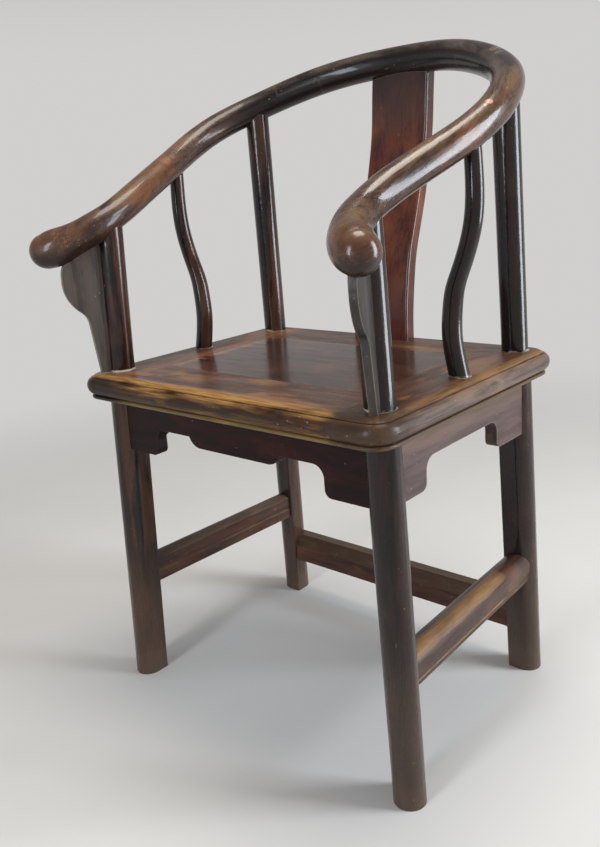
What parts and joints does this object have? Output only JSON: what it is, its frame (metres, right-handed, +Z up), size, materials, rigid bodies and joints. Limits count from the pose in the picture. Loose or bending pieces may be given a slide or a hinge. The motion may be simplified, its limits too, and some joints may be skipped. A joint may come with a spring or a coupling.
{
  "type": "horseshoe back armchair",
  "caption": "Chinese horseshoe back armchair in dark worn lacquered wood, with a bent splat, S-shaped side posts and shaped aprons.",
  "frame": {"origin": "on the floor under the middle of the chair's width and depth, 8.5 mm behind the middle of the seat", "axes": "+Z up, the front of the chair faces -Y, +X to the right of someone who looks at its front"},
  "size_m": [0.589, 0.539, 0.9542],
  "materials": {
    "lacquer_dark": "worn glossy near-black brown lacquer",
    "crest_worn": "brown lacquer worn by hands, glossy",
    "seat_worn": "golden tan where the lacquer is worn from the edge",
    "seat_panel_brown": "dark brown glossy lacquer",
    "apron_red": "dark oxblood lacquer",
    "apron_grey": "thin worn brown lacquer",
    "splat_red": "red-brown lacquer, darker at the top",
    "spandrel_grey": "satin grey-brown worn lacquer",
    "stretcher_worn": "golden worn top over red-brown lacquer",
    "raw_wood": "bare wood, aged"
  },
  "bodies": {
    "root": {"crest_rail_back": "crest_worn", "crest_rail_left_arm": "crest_worn", "crest_rail_right_arm": "crest_worn", "crest_rail_wedges": "crest_worn", "front_left_leg": "lacquer_dark", "front_right_leg": "lacquer_dark", "rear_left_leg": "lacquer_dark", "rear_right_leg": "lacquer_dark", "left_side_post": "lacquer_dark", "right_side_post": "lacquer_dark", "back_splat": "splat_red", "left_arm_spandrel": "spandrel_grey", "right_arm_spandrel": "spandrel_grey", "seat_front_rail": "seat_worn", "seat_back_rail": "seat_worn", "seat_left_rail": "seat_worn", "seat_right_rail": "seat_worn", "seat_panel": "seat_panel_brown", "left_seat_batten": "raw_wood", "right_seat_batten": "raw_wood", "front_apron": "apron_red", "back_apron": "apron_red", "left_apron": "apron_grey", "right_apron": "apron_grey", "left_stretcher": "stretcher_worn", "right_stretcher": "stretcher_worn", "back_stretcher": "stretcher_worn"}
  },
  "joints": []
}
